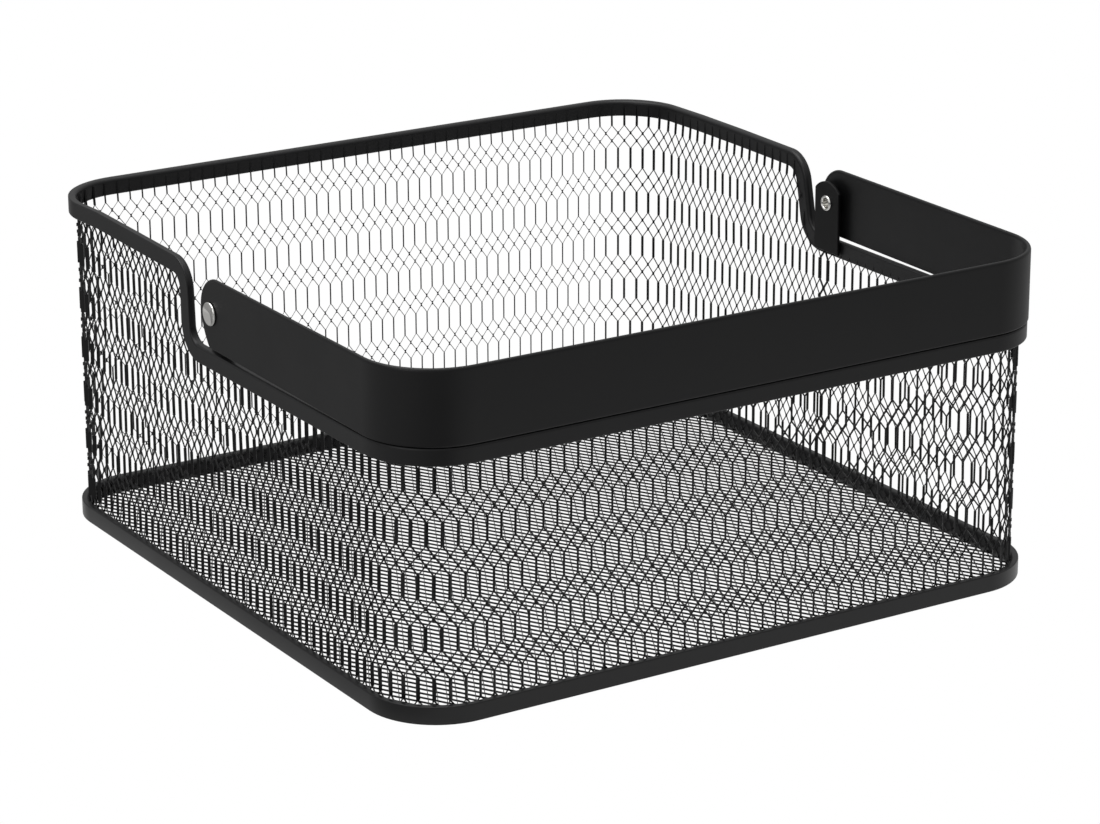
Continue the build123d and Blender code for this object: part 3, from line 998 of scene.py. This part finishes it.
rivet_points, rivet_quads = revolved(rivet_profile)
for name, sign in (("right_rivet", 1), ("left_rivet", -1)):
    quads = rivet_quads if sign > 0 else rivet_quads[:, ::-1]
    points = rivet_points * [sign, 1, 1]
    rivet = quad_object("turned_" + name, points, quads, rivet_steel, smooth=True)
    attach(rivet, "basket")
    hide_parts(name)
    print(rivet.name, "faces:", len(quads))

# %% [markdown]
# ## Paint on the solids that stay
# The tabs and the spacers keep their solids and get the tab paint, whose darker black is painted
# shade.

# %% Materials of the solids
kept_solids = ("right_tab", "left_tab", "right_spacer", "left_spacer")
for name in kept_solids:
    for slot in nodes[name].material_slots:
        # The darker tab paint is painted shade.
        slot.material = shaded_tab_paint
print("painted solids:", kept_solids)

# %% [markdown]
# ## Room and light
# The photograph has a white room without edges and without a shadow. To the camera the
# floor and the world are plain white, through the light path's camera ray. Glossy and
# transmitted rays see the same white floor, with painted light and shade in its glow: it
# is brightest round the basket and fades to half its strength half a metre away, and a
# strip along the basket's left side glows dimmer, painted shade that darkens the band on
# that side. Above the floor they see a room that is dim at the horizon and white
# overhead, as a studio is. All other rays see a pale floor that takes the basket's soft
# shadow, and an even, weaker world.


# %% White where seen
def white_where_seen(tree, emitted):
    """Factor: camera, glossy or transmission ray. Strength: 1 for the camera, else emitted."""
    path = add_node(tree, "ShaderNodeLightPath")
    largest = {"operation": "MAXIMUM"}
    factor = path.outputs["Is Camera Ray"]
    for output in ("Is Glossy Ray", "Is Transmission Ray"):
        wires = (factor, path.outputs[output])
        factor = add_node(tree, "ShaderNodeMath", largest, wires).outputs[0]
    wires = (path.outputs["Is Camera Ray"], emitted)
    return factor, add_node(tree, "ShaderNodeMath", largest, wires).outputs[0]


# %% Material of the room's floor
# Painted light and shade in the glow that glossy rays see: a fade with distance, and a darker strip
# at the left.
fade_from, fade_to, faded_strength = 0.2, 0.55, 0.5
shade_strip_start, shade_strip_full = -0.14, -0.165
shade_strip_fades, shade_strip_ends = -0.3, -0.38
shade_strip_strength = 0.42


def pale_floor(name, colour):
    """A pale floor; its glow is painted light and shade: the fade with distance, times the shaded
    strip's two steps in x.
    """
    material, tree = new_material(name)
    place = add_node(tree, "ShaderNodeTexCoord").outputs["Object"]
    distance = add_node(tree, "ShaderNodeVectorMath", {"operation": "LENGTH"}, (place,))
    fade = add_node(
        tree, "ShaderNodeMapRange", Value=distance.outputs["Value"],
        From_Min=fade_from, From_Max=fade_to, To_Min=1.0, To_Max=faded_strength,
    )
    leftward = add_node(tree, "ShaderNodeSeparateXYZ", Vector=place).outputs["X"]
    smooth = {"interpolation_type": "SMOOTHSTEP"}
    into_strip = add_node(
        tree, "ShaderNodeMapRange", smooth, Value=leftward,
        From_Min=shade_strip_start, From_Max=shade_strip_full, To_Min=1.0, To_Max=shade_strip_strength,
    )
    past_strip = add_node(
        tree, "ShaderNodeMapRange", smooth, Value=leftward,
        From_Min=shade_strip_fades, From_Max=shade_strip_ends, To_Min=0.0, To_Max=1.0,
    )
    steps = (into_strip.outputs["Result"], past_strip.outputs["Result"])
    strip = add_node(tree, "ShaderNodeMath", {"operation": "MAXIMUM"}, steps)
    both = (fade.outputs["Result"], strip.outputs[0])
    emitted = add_node(tree, "ShaderNodeMath", {"operation": "MULTIPLY"}, both)
    factor, strength = white_where_seen(tree, emitted.outputs[0])
    diffuse = add_node(tree, "ShaderNodeBsdfDiffuse", Color=linear(colour))
    glow = add_node(tree, "ShaderNodeEmission", Color=(1, 1, 1, 1), Strength=strength)
    shaders = (factor, diffuse.outputs[0], glow.outputs[0])
    mix = add_node(tree, "ShaderNodeMixShader", wires=shaders)
    add_node(tree, "ShaderNodeOutputMaterial", Surface=mix.outputs[0])
    return material


# %% Floor of the room
room_half = 4.0
corner_signs = [(-1, -1), (1, -1), (1, 1), (-1, 1)]
room_mesh = bpy.data.meshes.new("room_floor")
room_corners = [(room_half * x, room_half * y, 0) for x, y in corner_signs]
room_mesh.from_pydata(room_corners, [], [(0, 1, 2, 3)])
room_floor = bpy.data.objects.new("room_floor", room_mesh)
room_floor.data.materials.append(pale_floor("pale_floor", "#f2f2f2"))
bpy.context.scene.collection.objects.link(room_floor)
print("room floor in m:", 2 * room_half)

# %% World
dome_starts, dome_full, horizon_strength = 0.2, 0.9, 0.4
even_strength = 0.35
world = bpy.data.worlds.new("white_room")
world.use_nodes = True
bpy.context.scene.world = world
world_tree = world.node_tree
world_tree.nodes.clear()
direction = add_node(world_tree, "ShaderNodeTexCoord").outputs["Generated"]
upward = add_node(world_tree, "ShaderNodeSeparateXYZ", Vector=direction).outputs["Z"]
dome = add_node(
    world_tree, "ShaderNodeMapRange", {"interpolation_type": "SMOOTHSTEP"}, Value=upward,
    From_Min=dome_starts, From_Max=dome_full, To_Min=horizon_strength, To_Max=1.0,
)
seen, strength = white_where_seen(world_tree, dome.outputs["Result"])
even = add_node(world_tree, "ShaderNodeBackground", Color=(1, 1, 1, 1), Strength=even_strength)
shown = add_node(world_tree, "ShaderNodeBackground", Color=(1, 1, 1, 1), Strength=strength)
backgrounds = (seen, even.outputs[0], shown.outputs[0])
world_mix = add_node(world_tree, "ShaderNodeMixShader", wires=backgrounds)
add_node(world_tree, "ShaderNodeOutputWorld", Surface=world_mix.outputs[0])
print("world:", world.name, "with", len(world_tree.nodes), "nodes")


# %% Lamps
def soft_lamp(name, place, aim, size, power):
    """A square area lamp at place, turned so that its face looks at aim."""
    data = bpy.data.lights.new(name, "AREA")
    data.shape = "SQUARE"
    data.size = size
    data.energy = power
    lamp = bpy.data.objects.new(name, data)
    lamp.location = place
    lamp.rotation_euler = (Vector(aim) - Vector(place)).to_track_quat("-Z", "Y").to_euler()
    bpy.context.scene.collection.objects.link(lamp)
    print(lamp.name, "watts:", power)


basket_middle = (0, 0, 0.07)
soft_lamp("lamp_above", place=(-0.3, 0.2, 1.8), aim=basket_middle, size=1.6, power=26)
soft_lamp("lamp_left", place=(-1.9, -0.7, 0.9), aim=basket_middle, size=1.0, power=6)
bpy.context.scene.view_settings.view_transform = "Standard"
